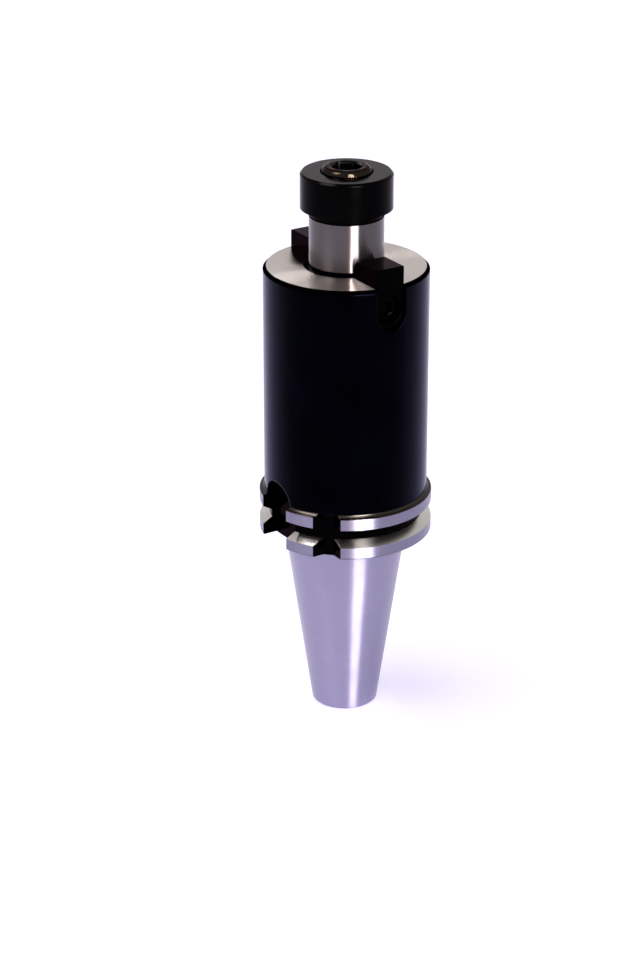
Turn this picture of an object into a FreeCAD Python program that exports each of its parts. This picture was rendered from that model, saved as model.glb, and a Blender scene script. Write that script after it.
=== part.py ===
"""Face mill arbor with a 7/24 taper shank, a V-flange and a clamped pilot nose.

The axis is +Z, the gauge plane of the taper is z = 0, and the drive keys lie on the Y axis.
All lengths are in millimetres.
"""

import FreeCAD, Part
import math
import os
import Sketcher

from FreeCAD import Placement, Rotation, Vector

SIZES = [
    # taper shank, No. 40
    ("gauge_dia", 44.45, "diameter at the gauge plane"),
    ("taper_rate", 0.2916667, "7/24, diameter lost per length"),
    ("taper_length", 68.4, "gauge plane to the small end"),
    ("small_end_chamfer", 0.7, "broken edge at the small end"),
    ("undercut_width", 1.3, "relief under the flange"),
    ("undercut_depth", 0.5, "relief under the flange, on the radius"),
    # pull-stud seat in the small end
    ("stud_drill_dia", 14.0, "tapping drill of the M16 thread"),
    ("stud_drill_depth", 43.0, "from the small end"),
    ("stud_pilot_dia", 17.0, "locating bore of the stud"),
    ("stud_pilot_depth", 8.0, "from the small end"),
    ("drill_tip_rise", 0.3, "height of a drill point over its diameter"),
    # V-flange
    ("flange_base", 3.2, "gauge plane to the flange"),
    ("flange_top", 19.1, "gauge plane to the top of the flange"),
    ("flange_dia", 63.55, "outside of both rings"),
    ("groove_height", 11.1, "gauge plane to the middle of the gripper groove"),
    ("groove_floor_dia", 56.25, "bottom of the gripper groove"),
    ("groove_floor_width", 2.83, "flat at the bottom of the groove"),
    ("groove_half_angle", 30.0, "each flank from the radial plane, in degrees"),
    ("flange_chamfer", 0.35, "broken outer edges of the rings"),
    # drive slots and orientation notch
    ("drive_slot_width", 16.1, "between the walls"),
    ("near_slot_floor", 25.0, "floor of the slot on -X, from the axis"),
    ("far_slot_floor", 22.8, "floor of the slot on +X, from the axis"),
    ("drive_slot_height", 19.0, "gauge plane to the centre of the round end"),
    ("notch_floor", 28.1, "floor of the notch, from the axis"),
    ("notch_floor_width", 3.8, "flat between the 45 degree walls"),
    ("notch_angle", 225.0, "direction of the notch, in degrees from +X"),
    ("notch_runout", 0.9, "the notch runs this far above the flange"),
    # nose
    ("nose_dia", 60.0, "blackened body"),
    ("nose_height", 105.0, "gauge plane to the contact face"),
    ("nose_chamfer", 1.2, "edge of the contact face"),
    ("nose_root", 0.8, "45 degree corner between the body and the flange"),
    ("pilot_dia", 27.0, "spigot that centres the cutter"),
    ("pilot_length", 19.0, "contact face to the end of the spigot"),
    ("pilot_chamfer", 0.4, "edge at the end of the spigot"),
    ("relief_dia", 30.8, "turned relief at the root of the spigot"),
    ("relief_depth", 0.8, "below the contact face"),
    ("neck_height", 1.3, "undercut of the spigot, above the contact face"),
    ("neck_depth", 0.3, "undercut of the spigot, on the radius"),
    # drive keys
    ("key_width", 12.0, "between the driving flanks"),
    ("key_inner", 14.2, "inner end, from the axis"),
    ("key_outer", 28.0, "outer end, from the axis"),
    ("key_stand", 6.5, "height above the contact face"),
    ("key_foot_depth", 10.5, "contact face to the centre of the round foot"),
    ("key_edge", 0.25, "broken edges of the top"),
    ("key_lead", 1.8, "45 degree lead at the top of the inner end"),
    ("key_fit", 0.01, "play of the key in its slot, each side"),
    # key screws, M6
    ("key_screw_depth", 9.0, "contact face to the screw axis"),
    ("key_screw_dia", 6.0, "shank"),
    ("key_screw_length", 12.0, "under the head"),
    ("key_screw_head_dia", 10.0, "head"),
    ("key_screw_head", 6.0, "height of the head"),
    ("key_screw_socket", 5.0, "socket, across flats"),
    ("key_screw_socket_depth", 3.0, "depth of the socket"),
    ("key_screw_sink", 2.0, "head below the outer end of the key"),
    ("key_screw_edge", 0.4, "edge of the head"),
    ("key_screw_hole_spare", 0.6, "tapped hole past the tip of the screw"),
    ("key_screw_play", 0.3, "clearance hole and counterbore, on the radius"),
    ("thread_play", 0.05, "shank in its tapped hole, on the radius"),
    # clamping cap
    ("cap_dia", 33.3, "outside"),
    ("cap_height", 13.1, "height of the rim"),
    ("cap_boss_height", 2.6, "boss that enters the bore of the cutter"),
    ("cap_boss_play", 0.25, "boss below the size of the spigot, on the radius"),
    ("cap_hole_dia", 13.0, "clearance hole of the clamping screw"),
    ("cap_bore_dia", 19.1, "counterbore for the screw head"),
    ("cap_edge", 0.8, "chamfer of the rim's top"),
    # clamping screw, M12
    ("clamp_dia", 12.0, "shank"),
    ("clamp_length", 30.0, "under the head"),
    ("clamp_head_dia", 18.0, "head"),
    ("clamp_head", 12.0, "height of the head"),
    ("clamp_head_chamfer", 1.2, "edge of the head"),
    ("clamp_head_proud", 2.05, "head above the cap"),
    ("clamp_socket", 10.0, "socket, across flats"),
    ("clamp_socket_depth", 6.0, "depth of the socket"),
    ("clamp_hole_depth", 32.0, "tapped depth from the end of the spigot"),
    ("clamp_drill_dia", 10.2, "tapping drill below the thread"),
    ("clamp_drill_depth", 37.0, "drilled depth from the end of the spigot"),
    ("screw_tip_chamfer", 0.9, "edge at the tip of both screws"),
]


class Size:
    """A length with its number and the spreadsheet formula that gives it."""

    def __init__(self, number, formula):
        self.number = number
        self.formula = formula

    def __add__(self, other):
        other = as_size(other)
        return Size(self.number + other.number, f"({self.formula} + {other.formula})")

    def __sub__(self, other):
        other = as_size(other)
        return Size(self.number - other.number, f"({self.formula} - {other.formula})")

    def __mul__(self, other):
        other = as_size(other)
        return Size(self.number * other.number, f"({self.formula} * {other.formula})")

    def __truediv__(self, other):
        other = as_size(other)
        return Size(self.number / other.number, f"({self.formula} / {other.formula})")

    def __neg__(self):
        return Size(-self.number, f"(0 - {self.formula})")


def as_size(value):
    return value if isinstance(value, Size) else Size(float(value), repr(float(value)))


doc = FreeCAD.newDocument("FaceMillArbor")
sheet = doc.addObject("Spreadsheet::Sheet", "Sizes")


class Table:
    """Named sizes, read as attributes."""


def fill_sheet():
    table = Table()
    for row, (alias, number, note) in enumerate(SIZES, 1):
        sheet.set(f"A{row}", alias)
        sheet.set(f"B{row}", str(number))
        sheet.set(f"C{row}", note)
        sheet.setAlias(f"B{row}", alias)
        setattr(table, alias, Size(float(number), f"Sizes.{alias}"))
    doc.recompute()
    return table


z = fill_sheet()


def tangent_of(angle):
    return Size(math.tan(math.radians(angle.number)), f"tan({angle.formula} * 1deg)")


# Sketches ------------------------------------------------------------------


def origin_plane(body, role):
    for feature in body.Origin.OriginFeatures:
        if feature.Role == role:
            return feature
    raise RuntimeError(f"{body.Label} has no {role}")


def new_body(label):
    body = doc.addObject("PartDesign::Body", label)
    body.Label = label
    return body


def new_sketch(body, name, role, offset=None, turn=None):
    """A sketch on an origin plane, moved along its normal and turned about +Z if asked."""
    sketch = body.newObject("Sketcher::SketchObject", name)
    sketch.AttachmentSupport = [(origin_plane(body, role), "")]
    sketch.MapMode = "FlatFace"
    if offset is not None:
        sketch.setExpression("AttachmentOffset.Base.z", offset.formula)
    if turn is not None:
        sketch.setExpression("AttachmentOffset.Rotation.Angle", f"{turn.formula} * 1deg")
    return sketch


def place_point(sketch, geo, pos, x, y):
    """Hold one point of the sketch at x, y from the sketch's origin."""
    for kind, axis, size in (("DistanceX", -2, x), ("DistanceY", -1, y)):
        if abs(size.number) < 1e-9:
            sketch.addConstraint(Sketcher.Constraint("PointOnObject", geo, pos, axis))
        else:
            index = sketch.addConstraint(
                Sketcher.Constraint(kind, -1, 1, geo, pos, size.number)
            )
            sketch.setExpression(f"Constraints[{index}]", size.formula)


def draw_polygon(sketch, corners):
    """A closed outline through the corners, each held by its own two sizes."""
    corners = [(as_size(x), as_size(y)) for x, y in corners]
    points = [Vector(x.number, y.number, 0) for x, y in corners]
    for k, start in enumerate(points):
        end = points[(k + 1) % len(points)]
        sketch.addGeometry(Part.LineSegment(start, end), False)
    last = len(points) - 1
    for k in range(len(points)):
        follower = 0 if k == last else k + 1
        sketch.addConstraint(Sketcher.Constraint("Coincident", k, 2, follower, 1))
    for k, (x, y) in enumerate(corners):
        place_point(sketch, k, 1, x, y)


def draw_circle(sketch, x, y, radius):
    x, y = as_size(x), as_size(y)
    centre = Vector(x.number, y.number, 0)
    sketch.addGeometry(Part.Circle(centre, Vector(0, 0, 1), radius.number), False)
    place_point(sketch, 0, 3, x, y)
    index = sketch.addConstraint(Sketcher.Constraint("Radius", 0, radius.number))
    sketch.setExpression(f"Constraints[{index}]", radius.formula)


def draw_arch(sketch, half_width, centre, flat_end):
    """A slot outline: a half circle about (0, centre), straight walls and a flat end."""
    r, c, e = half_width.number, centre.number, flat_end.number
    sweep = (0, math.pi) if c > e else (math.pi, 2 * math.pi)
    arc = Part.ArcOfCircle(Part.Circle(Vector(0, c, 0), Vector(0, 0, 1), r), *sweep)
    near, far = (r, -r) if c > e else (-r, r)
    sketch.addGeometry(arc, False)
    sketch.addGeometry(Part.LineSegment(Vector(far, c, 0), Vector(far, e, 0)), False)
    sketch.addGeometry(Part.LineSegment(Vector(far, e, 0), Vector(near, e, 0)), False)
    sketch.addGeometry(Part.LineSegment(Vector(near, e, 0), Vector(near, c, 0)), False)
    sketch.addConstraint(Sketcher.Constraint("Tangent", 0, 2, 1, 1))
    sketch.addConstraint(Sketcher.Constraint("Coincident", 1, 2, 2, 1))
    sketch.addConstraint(Sketcher.Constraint("Coincident", 2, 2, 3, 1))
    sketch.addConstraint(Sketcher.Constraint("Tangent", 3, 2, 0, 1))
    sketch.addConstraint(Sketcher.Constraint("Vertical", 1))
    sketch.addConstraint(Sketcher.Constraint("Vertical", 3))
    sketch.addConstraint(Sketcher.Constraint("Horizontal", 2))
    place_point(sketch, 0, 3, as_size(0), centre)
    radius = sketch.addConstraint(Sketcher.Constraint("Radius", 0, r))
    sketch.setExpression(f"Constraints[{radius}]", half_width.formula)
    end = sketch.addConstraint(Sketcher.Constraint("DistanceY", -1, 1, 2, 1, e))
    sketch.setExpression(f"Constraints[{end}]", flat_end.formula)


# Features ------------------------------------------------------------------


def turned(body, name, corners, kind="PartDesign::Revolution"):
    """Revolve, or cut away, a half section drawn as (radius, height) about the Z axis."""
    sketch = new_sketch(body, f"{name}_section", "XZ_Plane")
    draw_polygon(sketch, corners)
    feature = body.newObject(kind, name)
    feature.Profile = sketch
    feature.ReferenceAxis = (sketch, ["V_Axis"])
    feature.Angle = 360
    finish(body, feature, removes=kind.endswith("Groove"))
    return feature


def bored(body, name, sketch, depth=None, reverse=False):
    """A pocket of a given depth, or through everything, that is checked to cut."""
    pocket = body.newObject("PartDesign::Pocket", name)
    pocket.Profile = sketch
    pocket.Reversed = reverse
    if depth is None:
        pocket.Type = "ThroughAll"
    else:
        pocket.Type = "Length"
        pocket.setExpression("Length", depth.formula)
    finish(body, pocket, removes=True)
    return pocket


def finish(body, feature, removes, base=None):
    """Recompute, and see that a feature that cuts has taken material away."""
    base = base or feature.BaseFeature
    before = base.Shape.Volume if base else 0.0
    doc.recompute()
    if removes and not feature.Shape.Volume < before - 1e-6:
        raise RuntimeError(f"{body.Label}: {feature.Label} cuts nothing")


def chamfered(body, name, base, edges, size):
    """A chamfer of one size on the named edges of a feature."""
    feature = body.newObject("PartDesign::Chamfer", name)
    feature.Base = (base, edges)
    feature.setExpression("Size", size.formula)
    doc.recompute()
    return feature


def edges_where(feature, test):
    return [f"Edge{k}" for k, edge in enumerate(feature.Shape.Edges, 1) if test(edge)]


def hexagon(across_flats):
    """Corners of a hexagon about the sketch's origin, with two corners on its Y axis."""
    corners = []
    for k in range(6):
        angle = math.radians(30 + 60 * k)
        reach = across_flats / math.sqrt(3)
        corners.append((reach * round(math.cos(angle), 12), reach * round(math.sin(angle), 12)))
    return corners


# Arbor ---------------------------------------------------------------------


def taper_radius(height):
    return z.gauge_dia / 2 + height * z.taper_rate / 2


def arbor_section():
    """Half section of the outside, from the small end to the end of the spigot."""
    small = taper_radius(-z.taper_length)
    root = taper_radius(z.flange_base) - z.undercut_depth
    rim = z.flange_dia / 2
    floor = z.groove_floor_dia / 2
    half_floor = z.groove_floor_width / 2
    half_mouth = half_floor + (rim - floor) * tangent_of(z.groove_half_angle)
    edge = z.flange_chamfer
    nose = z.nose_dia / 2
    pilot = z.pilot_dia / 2
    end = z.nose_height + z.pilot_length
    undercut = z.flange_base - z.undercut_width
    return [
        (0, -z.taper_length),
        (small - z.small_end_chamfer, -z.taper_length),
        (small, z.small_end_chamfer - z.taper_length),
        (taper_radius(undercut), undercut),
        (root, undercut + z.undercut_depth),
        (root, z.flange_base),
        (rim - edge, z.flange_base),
        (rim, z.flange_base + edge),
        (rim, z.groove_height - half_mouth),
        (floor, z.groove_height - half_floor),
        (floor, z.groove_height + half_floor),
        (rim, z.groove_height + half_mouth),
        (rim, z.flange_top - edge),
        (rim - edge, z.flange_top),
        (nose + z.nose_root, z.flange_top),
        (nose, z.flange_top + z.nose_root),
        (nose, z.nose_height - z.nose_chamfer),
        (nose - z.nose_chamfer, z.nose_height),
        (z.relief_dia / 2, z.nose_height),
        (z.relief_dia / 2, z.nose_height - z.relief_depth),
        (pilot - z.neck_depth, z.nose_height - z.relief_depth),
        (pilot - z.neck_depth, z.nose_height + z.neck_height - z.neck_depth),
        (pilot, z.nose_height + z.neck_height),
        (pilot, end - z.pilot_chamfer),
        (pilot - z.pilot_chamfer, end),
        (0, end),
    ]


def cut_stud_seat(body):
    """Pull-stud seat: locating bore, then the M16 tapping hole with its drill point."""
    mouth = -z.taper_length
    bottom = mouth + z.stud_drill_depth
    corners = [
        (0, mouth),
        (z.stud_pilot_dia / 2, mouth),
        (z.stud_pilot_dia / 2, mouth + z.stud_pilot_depth),
        (z.stud_drill_dia / 2, mouth + z.stud_pilot_depth),
        (z.stud_drill_dia / 2, bottom),
        (0, bottom + z.stud_drill_dia * z.drill_tip_rise),
    ]
    turned(body, "stud_seat", corners, "PartDesign::Groove")


def cut_clamp_hole(body):
    """M12 hole of the clamping screw, from the end of the spigot."""
    mouth = z.nose_height + z.pilot_length
    thread = z.clamp_dia / 2 + z.thread_play
    drill = z.clamp_drill_dia / 2
    corners = [
        (0, mouth),
        (thread, mouth),
        (thread, mouth - z.clamp_hole_depth),
        (drill, mouth - z.clamp_hole_depth),
        (drill, mouth - z.clamp_drill_depth),
        (0, mouth - z.clamp_drill_depth - z.clamp_drill_dia * z.drill_tip_rise),
    ]
    turned(body, "clamp_hole", corners, "PartDesign::Groove")


def cut_drive_slots(body):
    """Two slots for the spindle's drive keys, one deeper than the other."""
    below = z.flange_base - z.drive_slot_width / 2
    near = new_sketch(body, "near_slot_outline", "YZ_Plane", -z.near_slot_floor)
    draw_arch(near, z.drive_slot_width / 2, z.drive_slot_height, below)
    bored(body, "near_drive_slot", near)
    far = new_sketch(body, "far_slot_outline", "YZ_Plane", z.far_slot_floor)
    draw_arch(far, z.drive_slot_width / 2, z.drive_slot_height, below)
    bored(body, "far_drive_slot", far, reverse=True)


def cut_notch(body):
    """Orientation notch: a flat floor between two walls at 45 degrees."""
    half = z.notch_floor_width / 2
    reach = z.flange_dia / 2 + z.flange_chamfer
    mouth = half + reach - z.notch_floor
    sketch = new_sketch(body, "notch_outline", "XY_Plane", z.flange_top + z.notch_runout, z.notch_angle)
    draw_polygon(sketch, [(z.notch_floor, half), (reach, mouth), (reach, -mouth), (z.notch_floor, -half)])
    bored(body, "orientation_notch", sketch, z.flange_top + z.notch_runout)


def cut_key_seats(body):
    """Radial slot with a round foot and the tapped hole for each key, twice about the axis."""
    slot = new_sketch(body, "key_slot_outline", "XZ_Plane", z.key_inner)
    half = z.key_width / 2 + z.key_fit
    draw_arch(slot, half, key_foot_height(), z.nose_height + z.key_stand)
    slot_cut = bored(body, "key_slot", slot, reverse=True)
    hole = new_sketch(body, "key_screw_hole_outline", "XZ_Plane", z.key_inner)
    draw_circle(hole, 0, key_screw_height(), z.key_screw_dia / 2 + z.thread_play)
    grip = z.key_screw_length - (key_screw_seat() - z.key_inner) + z.key_screw_hole_spare
    hole_cut = bored(body, "key_screw_hole", hole, grip)
    pattern = body.newObject("PartDesign::PolarPattern", "key_seats")
    pattern.Originals = [slot_cut, hole_cut]
    pattern.Axis = (origin_plane(body, "Z_Axis"), [""])
    pattern.Angle = 360
    pattern.Occurrences = 2
    body.Tip = pattern
    finish(body, pattern, removes=True, base=hole_cut)


def make_arbor():
    body = new_body("arbor_body")
    turned(body, "arbor", arbor_section())
    cut_stud_seat(body)
    cut_clamp_hole(body)
    cut_drive_slots(body)
    cut_notch(body)
    cut_key_seats(body)
    return body


# Drive keys and their screws -------------------------------------------------


def key_foot_height():
    return z.nose_height - z.key_foot_depth


def key_screw_height():
    return z.nose_height - z.key_screw_depth


def key_screw_seat():
    """Distance of the screw head's seat from the axis."""
    return z.key_outer - z.key_screw_sink - z.key_screw_head


def make_key(label, angle):
    """Key with a round foot, counterbored for a radial screw."""
    body = new_body(label)
    outline = new_sketch(body, f"{label}_outline", "XZ_Plane", z.key_inner)
    draw_arch(outline, z.key_width / 2, key_foot_height(), z.nose_height + z.key_stand)
    block = body.newObject("PartDesign::Pad", f"{label}_block")
    block.Profile = outline
    block.setExpression("Length", (z.key_outer - z.key_inner).formula)
    doc.recompute()
    hole = new_sketch(body, f"{label}_hole_outline", "XZ_Plane", z.key_outer)
    draw_circle(hole, 0, key_screw_height(), z.key_screw_dia / 2 + z.key_screw_play)
    bored(body, f"{label}_hole", hole)
    seat = new_sketch(body, f"{label}_seat_outline", "XZ_Plane", z.key_outer)
    draw_circle(seat, 0, key_screw_height(), z.key_screw_head_dia / 2 + z.key_screw_play)
    depth = z.key_outer - key_screw_seat()
    cut = bored(body, f"{label}_seat", seat, depth)
    top = z.nose_height.number + z.key_stand.number
    inner, outer = -z.key_inner.number, -z.key_outer.number
    corner = edges_where(cut, lambda edge: is_level(edge, top) and edge.BoundBox.YMin > inner - 1e-6)
    led = chamfered(body, f"{label}_lead", cut, corner, z.key_lead)
    rim = edges_where(led, lambda edge: is_level(edge, top) and edge.BoundBox.YMin < outer + 1e-6)
    chamfered(body, f"{label}_edges", led, rim, z.key_edge)
    body.Placement = Placement(Vector(0, 0, 0), Rotation(Vector(0, 0, 1), angle))
    return body


def is_level(edge, height):
    return abs(edge.BoundBox.ZMin - height) < 1e-6


def cap_screw(label, dia, length, head_dia, head, head_chamfer, socket, socket_depth):
    """Socket head cap screw along +Z, with the seat of its head at its own origin."""
    body = new_body(label)
    radius = dia / 2
    tip = z.screw_tip_chamfer
    corners = [
        (0, -length),
        (radius - tip, -length),
        (radius, tip - length),
        (radius, 0),
        (head_dia / 2, 0),
        (head_dia / 2, head - head_chamfer),
        (head_dia / 2 - head_chamfer, head),
        (0, head),
    ]
    turned(body, f"{label}_blank", corners)
    outline = new_sketch(body, f"{label}_socket_outline", "XY_Plane", head)
    draw_polygon(outline, hexagon(socket))
    bored(body, f"{label}_socket", outline, socket_depth)
    return body


def make_key_screw(label, side, angle):
    """Radial M6 screw of one key, on the -Y side (side = -1) or the +Y side."""
    body = cap_screw(
        label,
        z.key_screw_dia,
        z.key_screw_length,
        z.key_screw_head_dia,
        z.key_screw_head,
        z.key_screw_edge,
        z.key_screw_socket,
        z.key_screw_socket_depth,
    )
    body.Placement = Placement(Vector(0, 0, 0), Rotation(Vector(1, 0, 0), angle))
    body.setExpression("Placement.Base.y", (key_screw_seat() * side).formula)
    body.setExpression("Placement.Base.z", key_screw_height().formula)
    return body


# Cap and clamping screw --------------------------------------------------------


def clamp_seat_height():
    """Height of the clamping screw's head seat above the gauge plane."""
    cap_top = z.nose_height + z.pilot_length + z.cap_boss_height + z.cap_height
    return cap_top + z.clamp_head_proud - z.clamp_head


def make_cap():
    """Clamping cap: a rim over a boss that clears the cutter's bore, counterbored for the screw."""
    body = new_body("clamping_cap")
    foot = z.nose_height + z.pilot_length
    under = foot + z.cap_boss_height
    top = under + z.cap_height
    hole = z.cap_hole_dia / 2
    bore = z.cap_bore_dia / 2
    boss = z.pilot_dia / 2 - z.cap_boss_play
    corners = [
        (hole, foot),
        (boss, foot),
        (boss, under),
        (z.cap_dia / 2, under),
        (z.cap_dia / 2, top),
        (bore, top),
        (bore, clamp_seat_height()),
        (hole, clamp_seat_height()),
    ]
    blank = turned(body, "cap_blank", corners)
    outside = z.cap_dia.number / 2
    height = top.number
    rim = edges_where(blank, lambda edge: is_circle(edge, outside) and is_level(edge, height))
    chamfered(body, "cap_rim", blank, rim, z.cap_edge)
    return body


def is_circle(edge, radius):
    return isinstance(edge.Curve, Part.Circle) and abs(edge.Curve.Radius - radius) < 1e-6


def make_clamp_screw():
    body = cap_screw(
        "clamping_screw",
        z.clamp_dia,
        z.clamp_length,
        z.clamp_head_dia,
        z.clamp_head,
        z.clamp_head_chamfer,
        z.clamp_socket,
        z.clamp_socket_depth,
    )
    body.setExpression("Placement.Base.z", clamp_seat_height().formula)
    return body


# Assembly ------------------------------------------------------------------------


def check(pieces):
    doc.recompute()
    for thing in doc.Objects:
        if "Invalid" in thing.State or "Error" in thing.State:
            raise RuntimeError(f"{thing.Label} did not recompute: {thing.State}")
    for piece in pieces:
        shape = piece.Shape
        if shape.isNull() or not shape.isValid() or len(shape.Solids) != 1:
            raise RuntimeError(f"{piece.Label} is not one valid solid")
        print(piece.Label, round(shape.Volume), "mm3", shape.BoundBox)


pieces = [
    make_arbor(),
    make_key("drive_key_front", 0),
    make_key("drive_key_rear", 180),
    make_key_screw("key_screw_front", -1, 90),
    make_key_screw("key_screw_rear", 1, -90),
    make_cap(),
    make_clamp_screw(),
]
check(pieces)
os.makedirs("parts", exist_ok=True)
for piece in pieces:
    piece.Shape.exportStep(f"parts/{piece.Label}.step")
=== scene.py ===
"""Looks of the face mill arbor: finishes, knurled and threaded screws, camera, lights and floor."""

import math
from typing import NamedTuple

import bmesh
import bpy
from mathutils import Matrix, Vector


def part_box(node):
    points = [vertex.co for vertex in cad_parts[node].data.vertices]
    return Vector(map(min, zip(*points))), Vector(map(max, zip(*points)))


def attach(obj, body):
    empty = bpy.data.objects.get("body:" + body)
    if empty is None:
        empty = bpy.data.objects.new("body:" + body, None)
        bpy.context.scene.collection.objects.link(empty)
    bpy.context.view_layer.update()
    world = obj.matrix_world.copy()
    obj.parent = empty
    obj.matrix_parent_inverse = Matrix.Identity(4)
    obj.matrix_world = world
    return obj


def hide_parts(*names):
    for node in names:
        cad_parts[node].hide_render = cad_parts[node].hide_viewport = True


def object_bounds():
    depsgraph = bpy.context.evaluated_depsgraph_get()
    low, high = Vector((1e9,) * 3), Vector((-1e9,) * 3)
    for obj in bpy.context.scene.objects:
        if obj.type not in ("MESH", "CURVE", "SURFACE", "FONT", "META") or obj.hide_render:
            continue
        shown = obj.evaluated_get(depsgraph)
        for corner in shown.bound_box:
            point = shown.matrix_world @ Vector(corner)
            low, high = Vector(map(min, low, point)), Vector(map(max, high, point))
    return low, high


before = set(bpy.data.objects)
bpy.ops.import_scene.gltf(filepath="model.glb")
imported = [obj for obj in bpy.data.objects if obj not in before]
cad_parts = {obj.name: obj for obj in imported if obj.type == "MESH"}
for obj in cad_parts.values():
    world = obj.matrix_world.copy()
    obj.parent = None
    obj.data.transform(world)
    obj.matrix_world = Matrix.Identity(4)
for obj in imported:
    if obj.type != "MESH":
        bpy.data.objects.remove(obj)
cad_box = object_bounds()

MM = 0.001

# Places on the arbor, in metres, z from the gauge plane.
GAUGE_R = 22.225 * MM
TAPER_END = -68.4 * MM
FLANGE_BASE, FLANGE_TOP = 3.2 * MM, 19.1 * MM
FLANGE_R = 31.775 * MM
GROOVE_R = 28.125 * MM
GROOVE_Z = 11.1 * MM
FACE_Z = 105.0 * MM
RELIEF_R = 15.4 * MM
PILOT_R = 13.5 * MM

# How deep grinding and turning lines are at full strength.
LINE_DEPTH = 0.02 * MM


# Node helpers ---------------------------------------------------------------


def new_material(name):
    material = bpy.data.materials.new(name)
    material.use_nodes = True
    material.node_tree.nodes.clear()
    return material


class Nodes:
    """Short names for the nodes of one tree."""

    def __init__(self, tree):
        self.tree = tree

    def add(self, kind, **settings):
        node = self.tree.nodes.new(kind)
        for key, value in settings.items():
            setattr(node, key, value)
        return node

    def link(self, out, into):
        self.tree.links.new(out, into)

    def math(self, op, a, b=0.0):
        node = self.add("ShaderNodeMath", operation=op)
        for socket, value in zip(node.inputs, (a, b)):
            if isinstance(value, (int, float)):
                socket.default_value = value
            else:
                self.link(value, socket)
        return node.outputs[0]

    def noise(self, vector, scale, detail=3.0, roughness=0.5):
        node = self.add("ShaderNodeTexNoise")
        node.inputs["Scale"].default_value = scale
        node.inputs["Detail"].default_value = detail
        node.inputs["Roughness"].default_value = roughness
        self.link(vector, node.inputs["Vector"])
        return node.outputs["Fac"]

    def spread(self, value, low, high, to_low, to_high):
        """A value from low to high, spread over to_low to to_high and held there beyond."""
        node = self.add("ShaderNodeMapRange", clamp=True)
        for key, number in (("From Min", low), ("From Max", high), ("To Min", to_low), ("To Max", to_high)):
            node.inputs[key].default_value = number
        self.link(value, node.inputs["Value"])
        return node.outputs["Result"]

    def mix_colour(self, factor, a, b):
        node = self.add("ShaderNodeMix", data_type="RGBA")
        self.link(factor, node.inputs["Factor"])
        for socket, colour in ((node.inputs[6], a), (node.inputs[7], b)):
            socket.default_value = (*colour, 1.0)
        return node.outputs[2]

    def split(self, vector):
        node = self.add("ShaderNodeSeparateXYZ")
        self.link(vector, node.inputs[0])
        return node.outputs

    def distance(self, vector):
        """Distance from the Z axis."""
        x, y, _ = self.split(vector)
        return self.math("SQRT", self.math("ADD", self.math("MULTIPLY", x, x), self.math("MULTIPLY", y, y)))


def shows_background(nodes):
    """1 for rays that show the background, straight or in metal or glass, and 0 for all others."""
    path = nodes.add("ShaderNodeLightPath").outputs
    shown = nodes.math("MAXIMUM", path["Is Camera Ray"], path["Is Glossy Ray"])
    return nodes.math("MAXIMUM", shown, path["Is Transmission Ray"])


def lathe_coordinates(nodes, fine, around):
    """A texture space in which noise becomes rings about the Z axis, as turning and grinding leave."""
    place = nodes.add("ShaderNodeTexCoord").outputs["Object"]
    x, y, z = nodes.split(place)
    join = nodes.add("ShaderNodeCombineXYZ")
    across = nodes.math("ADD", nodes.distance(place), z)
    nodes.link(nodes.math("MULTIPLY", across, fine), join.inputs[0])
    nodes.link(nodes.math("MULTIPLY", x, around), join.inputs[1])
    nodes.link(nodes.math("MULTIPLY", y, around), join.inputs[2])
    return place, join.outputs[0]


def principled(nodes, **values):
    """The surface shader, each value on the shader's own socket."""
    shader = nodes.add("ShaderNodeBsdfPrincipled")
    for key, value in values.items():
        shader.inputs[key.replace("_", " ")].default_value = value
    out = nodes.add("ShaderNodeOutputMaterial")
    nodes.link(shader.outputs[0], out.inputs["Surface"])
    return shader


def bump(nodes, shader, height, strength, distance, edge=0.0):
    """Relief from a height, over edges that are rounded by the radius edge where it is given."""
    node = nodes.add("ShaderNodeBump")
    if edge:
        rounded = nodes.add("ShaderNodeBevel", samples=8)
        rounded.inputs["Radius"].default_value = edge
        nodes.link(rounded.outputs[0], node.inputs["Normal"])
    node.inputs["Strength"].default_value = strength
    node.inputs["Distance"].default_value = distance
    nodes.link(height, node.inputs["Height"])
    nodes.link(node.outputs[0], shader.inputs["Normal"])


def ground_steel(
    name, dark, light, rough, aniso=1.0, lines=0.05, lay=0.25, fineness=9000.0, around=60.0, wear=0.12
):
    """Bare steel with grinding lines around the axis, which draw highlights out across them."""
    material = new_material(name)
    nodes = Nodes(material.node_tree)
    place, rings = lathe_coordinates(nodes, fineness, around)
    shader = principled(nodes, Metallic=1.0, Anisotropic=aniso, Anisotropic_Rotation=lay)
    tangent = nodes.add("ShaderNodeTangent", direction_type="RADIAL", axis="Z")
    nodes.link(tangent.outputs[0], shader.inputs["Tangent"])
    fine = nodes.noise(rings, 1.0, 4.0, 0.6)
    broad = nodes.noise(place, 70.0, 3.0, 0.55)
    blend = nodes.math("ADD", nodes.math("MULTIPLY", fine, 0.6), nodes.math("MULTIPLY", broad, 0.4))
    colour = nodes.mix_colour(nodes.spread(blend, 0.3, 0.7, 0.0, 1.0), dark, light)
    nodes.link(colour, shader.inputs["Base Color"])
    shader.inputs["Roughness"].default_value = rough
    if wear:
        uneven = nodes.spread(blend, 0.3, 0.7, rough * (1.0 - wear), rough * (1.0 + wear))
        nodes.link(uneven, shader.inputs["Roughness"])
    bump(nodes, shader, fine, lines, LINE_DEPTH)
    return material


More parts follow.
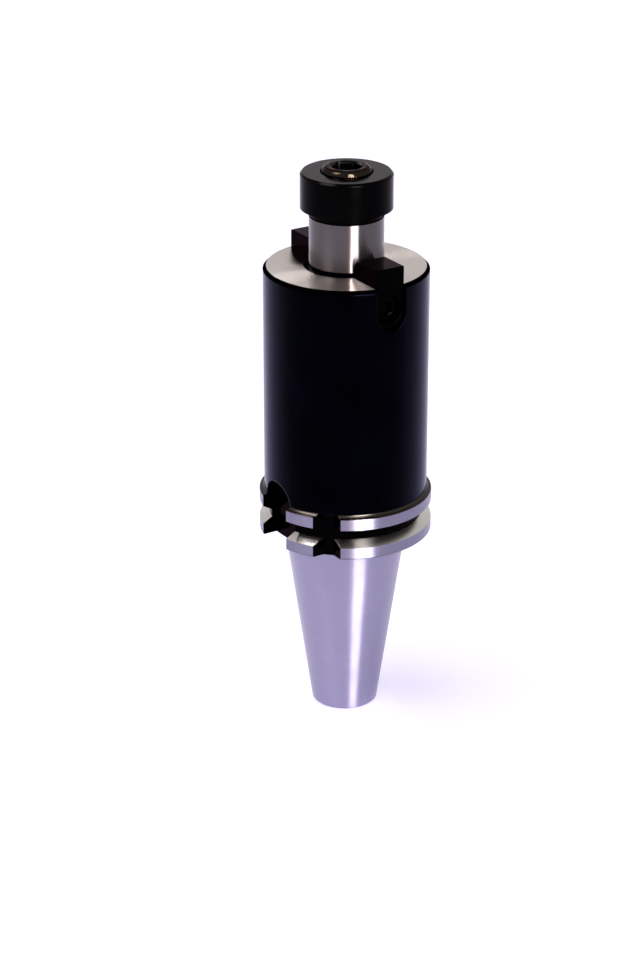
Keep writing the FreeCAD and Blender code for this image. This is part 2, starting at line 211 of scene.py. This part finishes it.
def blackened_steel(
    name, dark, light, rough, tint, specular=0.5, turned=0.06, edge=0.5 * MM, metallic=1.0, relief=LINE_DEPTH
):
    """Oil-blacked steel: nearly black, lighter by its tint at grazing angles, over faint turning lines."""
    material = new_material(name)
    nodes = Nodes(material.node_tree)
    place, rings = lathe_coordinates(nodes, 5000.0, 30.0)
    shader = principled(nodes, Metallic=metallic, Specular_IOR_Level=specular, Specular_Tint=(*tint, 1.0))
    fine = nodes.noise(rings, 1.0, 3.0, 0.5)
    cloud = nodes.noise(place, 45.0, 4.0, 0.6)
    grain = nodes.noise(place, 1800.0, 2.0, 0.5)
    colour = nodes.mix_colour(nodes.spread(cloud, 0.35, 0.65, 0.0, 1.0), dark, light)
    nodes.link(colour, shader.inputs["Base Color"])
    nodes.link(nodes.spread(cloud, 0.3, 0.7, rough * 0.85, rough * 1.15), shader.inputs["Roughness"])
    height = nodes.math("ADD", nodes.math("MULTIPLY", fine, 0.7), nodes.math("MULTIPLY", grain, 0.3))
    bump(nodes, shader, height, turned, relief, edge)
    return material


# Materials --------------------------------------------------------------------

# The greys are set for a white room and are not the steel's own colour: they are darker, a painted dark room
# in the steel's reflections. Bare steel in a dark room has a lighter one. The lavender of the taper and rings
# is a painted reflection of a lavender floor, the warm tone of the face and flank a painted warm reflection,
# and the near black of the pilot a painted dark reflection.
FINE_RINGS = {"fineness": 26000.0, "around": 12.0}
ground_taper = ground_steel(
    "ground_taper", (0.277, 0.258, 0.361), (0.307, 0.286, 0.400), 0.26, lines=0.01, lay=0.26, **FINE_RINGS
)
ground_pilot = ground_steel("ground_pilot", (0.085, 0.075, 0.078), (0.098, 0.087, 0.09), 0.21, lines=0.03)
ground_rings = ground_steel(
    "ground_rings", (0.19, 0.18, 0.25), (0.21, 0.20, 0.28), 0.28, lines=0.01, **FINE_RINGS
)
ground_flank = ground_steel(
    "ground_flank", (0.40, 0.37, 0.35), (0.46, 0.43, 0.41), 0.16,
    lines=0.004, lay=0.242, wear=0.0, **FINE_RINGS,
)
ground_face = ground_steel("ground_face", (0.38, 0.33, 0.31), (0.45, 0.39, 0.37), 0.20, lines=0.04)
bore_steel = ground_steel("bore_steel", (0.10, 0.10, 0.11), (0.16, 0.16, 0.17), 0.45, aniso=0.5)

SMOKED = (1.0, 0.95, 0.97)
# The blue in this black's base colour and tint is a painted blue cast: the lavender floor in its reflections.
black_body = blackened_steel(
    "black_body", (0.0004, 0.0004, 0.0012), (0.0008, 0.0008, 0.0022), 0.17, (0.70, 0.70, 0.78), edge=0.8 * MM
)
# A lighter, warmer copy of the body's black for the flange top and nose root: black oxide with a painted
# highlight that brightens the lamp's streak there.
black_root_and_painted_highlight = blackened_steel(
    "black_root_and_painted_highlight", (0.022, 0.019, 0.016), (0.030, 0.026, 0.022), 0.17, (0.70, 0.68, 0.70), edge=0.8 * MM
)
# Black with no reflection at all for chamfers: blackened edges with painted shade, kept dark where they would
# reflect the room.
black_edge_and_painted_shade = blackened_steel(
    "black_edge_and_painted_shade", (0.0003, 0.0003, 0.0005), (0.0006, 0.0006, 0.0010), 0.22, SMOKED, specular=0.0, metallic=0.0
)
# Near-black with almost no sheen for the clamping screw's socket: painted shade in its recess.
black_socket_painted_shade = blackened_steel(
    "black_socket_painted_shade", (0.0003, 0.0003, 0.0004), (0.0008, 0.0008, 0.0009), 0.34, SMOKED,
    specular=0.03, metallic=0.0,
)
black_cap = blackened_steel(
    "black_cap", (0.0012, 0.0012, 0.0013), (0.002, 0.0019, 0.002), 0.15, (0.68, 0.66, 0.67),
    turned=0.05, edge=0.25 * MM,
)
# The keys' own black. The same darker black with weaker sheen goes on the slot and notch walls, the groove
# floor, the upper flank and in the key screws' recess: there it is painted shade.
black_key_and_painted_shade = blackened_steel(
    "black_key_and_painted_shade", (0.0006, 0.0006, 0.0007), (0.0012, 0.0012, 0.0014), 0.14, (0.58, 0.54, 0.55),
    turned=0.03, edge=0.15 * MM,
)
black_screw = blackened_steel(
    "black_screw", (0.014, 0.0105, 0.0076), (0.0175, 0.0134, 0.010), 0.10, (0.60, 0.56, 0.57),
    turned=0.04, edge=0.0,
)
black_forged = blackened_steel(
    "black_forged", (0.002, 0.002, 0.002), (0.003, 0.003, 0.003), 0.12, (0.52, 0.48, 0.49),
    turned=1.0, edge=0.0, relief=0.25 * MM,
)


# Radii and heights that tell the arbor's surfaces apart.
COLLAR_BORE_R = 8.4 * MM
BORE_R = 8.0 * MM
FLANK_HALF_WIDTH = 3.6 * MM
ROOT_R = 29.0 * MM
NOTCH_R = 20.0 * MM
CUTTER_TOP = 30.0 * MM
NOSE_EDGE_R = 28.0 * MM
TAPER_SLOPE = 7 / 48


def finish_of(polygon):
    """Which finish a facet of the arbor has, from where it lies and faces; some finishes carry painted shade
    and one a painted highlight.
    """
    c, n = polygon.center, polygon.normal
    radius = math.hypot(c.x, c.y)
    outward = (c.x * n.x + c.y * n.y) / max(radius, 1e-9)
    in_flange = FLANGE_BASE <= c.z < FLANGE_TOP and radius > GROOVE_R
    if c.z < FLANGE_BASE:
        on_cone = outward > 0.9 and abs(radius - GAUGE_R - c.z * TAPER_SLOPE) < 0.4 * MM
        on_end = c.z < TAPER_END + 0.8 * MM and radius > COLLAR_BORE_R
        if on_cone or on_end:
            return ground_taper
        return black_body if radius > GAUGE_R - 1.5 * MM else bore_steel
    if in_flange and outward > 0.97:
        return ground_rings if radius > FLANGE_R - 0.3 * MM else black_body
    # The upper flank faces down; it takes the darker key black instead of ground steel: painted shade under
    # the ring.
    if in_flange and 0.2 < outward < 0.7 and abs(n.z) > 0.7:
        lower = n.z > 0.0 and abs(c.z - GROOVE_Z) < FLANK_HALF_WIDTH
        return ground_flank if lower else black_key_and_painted_shade
    # The flange top and nose root take the lighter black: a painted highlight.
    if abs(c.z - FLANGE_TOP) < 1.0 * MM and n.z > 0.5 and radius > ROOT_R:
        return black_root_and_painted_highlight
    # Slot and notch walls and the groove floor take the darker key black: painted shade in these hollows.
    cut_wall = outward < 0.9 and n.z < 0.5
    if c.z < CUTTER_TOP and radius > NOTCH_R and (cut_wall or radius < GROOVE_R + 0.4 * MM):
        return black_key_and_painted_shade
    if abs(c.z - FACE_Z) < 0.05 * MM and n.z > 0.99 and radius > RELIEF_R - 0.5 * MM:
        return ground_face
    # The pilot's top chamfer, and below it the nose's top chamfer and the downward chamfers, take the black
    # without reflection: painted shade.
    if c.z > FACE_Z + 1.2 * MM and radius > PILOT_R - 0.5 * MM and outward > 0.6:
        return ground_pilot if outward > 0.9 else black_edge_and_painted_shade
    chamfer = abs(abs(n.z) - outward) < 0.05
    if radius > NOSE_EDGE_R and chamfer and (c.z > FACE_Z - 2 * MM or n.z < 0.0):
        return black_edge_and_painted_shade
    return bore_steel if radius < BORE_R else black_body


ARBOR_FINISHES = (
    black_body, ground_taper, ground_pilot, ground_rings, ground_face,
    bore_steel, ground_flank, black_edge_and_painted_shade, black_root_and_painted_highlight, black_key_and_painted_shade,
)
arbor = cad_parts["arbor_body"]
arbor.data.materials.clear()
for material in ARBOR_FINISHES:
    arbor.data.materials.append(material)
for polygon in arbor.data.polygons:
    polygon.material_index = ARBOR_FINISHES.index(finish_of(polygon))


def repaint(name, material):
    """Gives a plain node of the frame one finish."""
    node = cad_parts[name]
    node.data.materials.clear()
    node.data.materials.append(material)


repaint("clamping_cap", black_cap)
repaint("drive_key_front", black_key_and_painted_shade)
repaint("drive_key_rear", black_key_and_painted_shade)


# Screws -----------------------------------------------------------------------


class Screw(NamedTuple):
    """Sizes of a socket head cap screw; the socket is measured across its flats."""

    dia: float
    length: float
    pitch: float
    head_dia: float
    head: float
    head_chamfer: float
    socket: float
    depth: float
    teeth: int


M12 = Screw(12 * MM, 30 * MM, 1.75 * MM, 18 * MM, 12 * MM, 1.5 * MM, 10 * MM, 6 * MM, 54)
M6 = Screw(6 * MM, 12 * MM, 1.0 * MM, 10 * MM, 6 * MM, 0.5 * MM, 5 * MM, 3 * MM, 32)

# Radius of the round mouth of a socket, for each unit across its flats.
SOCKET_MOUTH = 0.59

# How deep each step around one knurl tooth is, as a share of the groove.
KNURL_STEPS = (0.0, 0.12, 0.75, 1.0, 0.75, 0.12)
THREAD_STEPS = 48


def hex_radius(angle, across_flats):
    """Distance from the axis to a hexagon with a corner on +Y."""
    half_side = math.radians(30)
    return across_flats / 2 / math.cos((angle - half_side) % (2 * half_side) - half_side)


def add_rings(b, rings, steps):
    """Rows of faces between rings, each ring a height and a radius for every angle."""
    rows = []
    for height, radius_at in rings:
        row = []
        for k in range(steps):
            angle = 2 * math.pi * k / steps
            r = radius_at(angle, k) if callable(radius_at) else radius_at
            row.append(b.verts.new((r * math.cos(angle), r * math.sin(angle), height)))
        rows.append(row)
    for low, high in zip(rows, rows[1:]):
        for k in range(steps):
            j = (k + 1) % steps
            b.faces.new((low[k], low[j], high[j], high[k]))
    return rows


def add_head(b, size):
    """Knurled head with a chamfered hexagon socket; its seat is at height 0."""
    height, chamfer, socket, depth = size.head, size.head_chamfer, size.socket, size.depth
    outer = size.head_dia / 2
    groove = 0.008 * size.head_dia

    def knurl(angle, k):
        return outer - groove * KNURL_STEPS[k % len(KNURL_STEPS)]

    def hexagon(angle, k):
        return hex_radius(angle, socket)

    rings = [
        (0.0, 0.6 * outer),
        (0.0, outer - 1.6 * groove),
        (0.5 * groove, outer - 1.1 * groove),
        (1.6 * groove, knurl),
        (height - 1.35 * chamfer, knurl),
        (height - 1.15 * chamfer, outer),
        (height - 0.55 * chamfer, outer - 0.30 * chamfer),
        (height - 0.16 * chamfer, outer - 0.72 * chamfer),
        (height, outer - 1.15 * chamfer),
        (height, SOCKET_MOUTH * socket),
        (height - 0.03 * size.head_dia, hexagon),
        (height - depth, hexagon),
        (height - depth, 0.30 * socket),
        (height - depth - 0.12 * socket, 0.02 * socket),
    ]
    rows = add_rings(b, rings, size.teeth * len(KNURL_STEPS))
    b.faces.new(rows[-1])


def circle(radius, height, steps):
    turns = [2 * math.pi * k / steps for k in range(steps)]
    return [(radius * math.cos(a), radius * math.sin(a), height) for a in turns]


def add_thread(b, size):
    """Right-handed thread from the tip up to height 0, its crest at the full diameter."""
    length, pitch = size.length, size.pitch
    crest = size.dia / 2
    root = crest - 0.61 * pitch
    tip_chamfer = 0.15 * size.dia / 2
    profile = (
        (0.0, root), (0.14 * pitch, root), (0.44 * pitch, crest), (0.56 * pitch, crest), (0.86 * pitch, root)
    )
    steps = THREAD_STEPS
    count = int(steps * (length / pitch + 1)) + 1
    rows = []
    for i in range(count):
        angle = 2 * math.pi * i / steps
        row = []
        for rise, radius in profile:
            z = -length - pitch + pitch * i / steps + rise
            held = min(max(z, -length), 0.0)
            r = min(radius, crest - tip_chamfer + (held + length))
            row.append(b.verts.new((r * math.cos(angle), r * math.sin(angle), held)))
        rows.append(row)
    for i in range(count - 1):
        low, high = rows[i], rows[i + 1]
        for k in range(len(profile) - 1):
            b.faces.new((low[k], high[k], high[k + 1], low[k + 1]))
        if i + 1 + steps < count:
            b.faces.new((low[-1], high[-1], rows[i + 1 + steps][0], rows[i + steps][0]))
    tip = [b.verts.new(v) for v in circle(crest - tip_chamfer, -length, steps)]
    b.faces.new(tip[::-1])


def finish_index(polygon, size):
    """Which of a screw's finishes a facet has: 1 in the socket, 2 on the head's top, 0 elsewhere."""
    c = polygon.center
    inside = math.hypot(c.x, c.y) < SOCKET_MOUTH * size.socket
    if inside and c.z > size.head - 1.5 * size.depth:
        return 1
    return 2 if c.z > size.head - 0.1 * size.head_chamfer else 0


def make_screw(name, size, finishes, place, body):
    """A socket head screw that stands for the plain one of the frame."""
    b = bmesh.new()
    add_head(b, size)
    add_thread(b, size)
    mesh = bpy.data.meshes.new(name)
    b.to_mesh(mesh)
    b.free()
    for material in finishes:
        mesh.materials.append(material)
    for polygon in mesh.polygons:
        polygon.material_index = finish_index(polygon, size)
        polygon.use_smooth = polygon.material_index != 1
    mesh.transform(place)
    mesh.set_sharp_from_angle(angle=math.radians(38))
    screw = bpy.data.objects.new(name, mesh)
    bpy.context.scene.collection.objects.link(screw)
    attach(screw, body)
    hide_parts(name.replace("_detail", ""))


_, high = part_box("clamping_screw")
seat = Matrix.Translation((0, 0, high.z - M12.head))
# Its socket takes the black without sheen: painted shade.
make_screw("clamping_screw_detail", M12, (black_screw, black_socket_painted_shade, black_forged), seat, "screw")
for side, name in ((-1, "key_screw_front"), (1, "key_screw_rear")):
    low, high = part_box(name)
    head_side = low.y if side < 0 else high.y
    seat_at = Vector((0, head_side - side * M6.head, (low.z + high.z) / 2))
    place = Matrix.Translation(seat_at) @ Matrix.Rotation(math.radians(-90 * side), 4, "X")
    # The key screws' socket and head top take the darker key black: painted shade in their recess.
    make_screw(f"{name}_detail", M6, (black_screw, black_key_and_painted_shade, black_key_and_painted_shade), place, "arbor")


# Camera -----------------------------------------------------------------------

# From a fit of the camera to the edges of the taper and the flange: metres, radians, and mm for the lens.
CAMERA_TURN = math.radians(-32.72)
DISTANCE, HEIGHT = 0.91954, 0.41797
PITCH, YAW, ROLL = 0.406841, -0.010231, 0.000251
LENS, SENSOR = 101.92, 36.0


def make_camera():
    """A camera in front of the object, turned about the Z axis, that looks slightly down."""
    turn = Matrix.Rotation(CAMERA_TURN, 3, "Z")
    level = Vector((math.sin(YAW), math.cos(YAW), 0)) * math.cos(PITCH)
    ahead = turn @ (level - Vector((0, 0, math.sin(PITCH))))
    right = ahead.cross(Vector((0, 0, 1))).normalized()
    up = right.cross(ahead)
    right, up = math.cos(ROLL) * right + math.sin(ROLL) * up, math.cos(ROLL) * up - math.sin(ROLL) * right
    data = bpy.data.cameras.new("camera")
    data.lens = LENS
    data.sensor_width = SENSOR
    data.clip_start, data.clip_end = 0.05, 20.0
    camera = bpy.data.objects.new("camera", data)
    bpy.context.scene.collection.objects.link(camera)
    aim = Matrix((right, up, -ahead)).transposed().to_4x4()
    camera.matrix_world = Matrix.Translation(turn @ Vector((0, -DISTANCE, HEIGHT))) @ aim
    bpy.context.scene.camera = camera


make_camera()


# Floor, world and lights ------------------------------------------------------

# The object's middle, at which the lamps from above are aimed.
MIDDLE = Vector((0, 0, 40 * MM))
FLOOR_R = 3.0

# What the floor adds to its own light, by distance from the axis as a share of its radius. Near the object it
# is dimmer and lavender: painted lavender shade that tints the object's shadow and the floor that the steel
# reflects. Further out it is white.
FLOOR_GLOW_AND_PAINTED_SHADE = ((0.22, (0.60, 0.56, 0.76)), (0.36, (0.84, 0.84, 0.86)), (0.66, (1.0, 1.0, 1.0)))

# How strongly the white world lights matt surfaces.
WORLD_FILL = 0.35


def towards(azimuth, elevation, distance):
    """A place seen from the object's middle: azimuth counts from the camera's side, to its right."""
    a = CAMERA_TURN + math.radians(azimuth)
    e = math.radians(elevation)
    return Vector((math.sin(a) * math.cos(e), -math.cos(a) * math.cos(e), math.sin(e))) * distance


def make_floor():
    """Paper that keeps the object's shadow, with painted lavender shade near the object and white further
    out, and looks the same straight and in metal.
    """
    mesh = bpy.data.meshes.new("floor")
    b = bmesh.new()
    bmesh.ops.create_circle(b, cap_ends=True, radius=FLOOR_R, segments=96)
    b.to_mesh(mesh)
    b.free()
    floor = bpy.data.objects.new("floor", mesh)
    floor.location.z = cad_box[0].z
    bpy.context.scene.collection.objects.link(floor)
    material = new_material("floor_paper")
    nodes = Nodes(material.node_tree)
    place = nodes.add("ShaderNodeTexCoord").outputs["Object"]
    paper = nodes.add("ShaderNodeBsdfDiffuse")
    paper.inputs["Color"].default_value = (0.62, 0.62, 0.64, 1.0)
    white = nodes.add("ShaderNodeEmission")
    ramp = nodes.add("ShaderNodeValToRGB")
    stops = ramp.color_ramp.elements
    stops.new(0.5)
    for stop, (where, colour) in zip(stops, FLOOR_GLOW_AND_PAINTED_SHADE):
        stop.position = where
        stop.color = (*colour, 1.0)
    nodes.link(nodes.math("DIVIDE", nodes.distance(place), FLOOR_R), ramp.inputs[0])
    nodes.link(ramp.outputs[0], white.inputs["Color"])
    nodes.link(shows_background(nodes), white.inputs["Strength"])
    seen = nodes.add("ShaderNodeAddShader")
    nodes.link(paper.outputs[0], seen.inputs[0])
    nodes.link(white.outputs[0], seen.inputs[1])
    out = nodes.add("ShaderNodeOutputMaterial")
    nodes.link(seen.outputs[0], out.inputs["Surface"])
    mesh.materials.append(material)


def make_world():
    """A white studio, white straight and in metal, which lights matt surfaces less strongly."""
    world = bpy.data.worlds.new("studio")
    bpy.context.scene.world = world
    world.use_nodes = True
    tree = world.node_tree
    tree.nodes.clear()
    nodes = Nodes(tree)
    seen = nodes.add("ShaderNodeBackground")
    seen.inputs["Color"].default_value = (1.0, 1.0, 1.0, 1.0)
    nodes.link(nodes.spread(shows_background(nodes), 0.0, 1.0, WORLD_FILL, 1.0), seen.inputs["Strength"])
    out = nodes.add("ShaderNodeOutputWorld")
    nodes.link(seen.outputs[0], out.inputs["Surface"])


def area_light(name, place, aim, width, height, power, colour, matt=True, gloss=True):
    """A lamp that lights matt surfaces, shows in reflections, or both."""
    data = bpy.data.lights.new(name, "AREA")
    data.shape = "RECTANGLE"
    data.size, data.size_y = width, height
    data.energy = power
    data.color = colour
    light = bpy.data.objects.new(name, data)
    light.location = place
    light.rotation_euler = (aim - place).to_track_quat("-Z", "Y").to_euler()
    light.visible_diffuse = matt
    light.visible_glossy = gloss
    light.visible_camera = False
    bpy.context.scene.collection.objects.link(light)


def upright_panel(name, azimuth, distance, width, bottom, top, power, colour):
    """A standing light beside the camera, whose long streak the ground surfaces show."""
    middle = Vector((0, 0, (bottom + top) / 2))
    place = middle + towards(azimuth, 0, distance)
    area_light(name, place, middle, width, top - bottom, power, colour, matt=False)


def high_lamp(name, azimuth, elevation, distance, size, power, colour, **rays):
    """A square lamp that looks down at the object's middle."""
    place = MIDDLE + towards(azimuth, elevation, distance)
    area_light(name, place, MIDDLE, size, size, power, colour, **rays)


make_floor()
make_world()
upright_panel("key_light", 24, 0.55, 0.22, 0.03, 1.0, 36.0, (1.0, 0.98, 0.96))
upright_panel("key_edge", 9.0, 0.56, 0.035, 0.03, 0.8, 0.55, (1.0, 0.36, 0.12))
high_lamp("sky_light", -80, 72, 1.3, 0.9, 14.5, (1.0, 0.97, 0.98), gloss=False)
high_lamp("top_light", -75, 59, 1.3, 0.5, 14.0, (1.0, 0.97, 0.98), matt=False)
high_lamp("back_light", -160, 36, 1.2, 0.25, 1.9, (1.0, 0.95, 0.93), matt=False)
bpy.context.scene.view_settings.view_transform = "Standard"
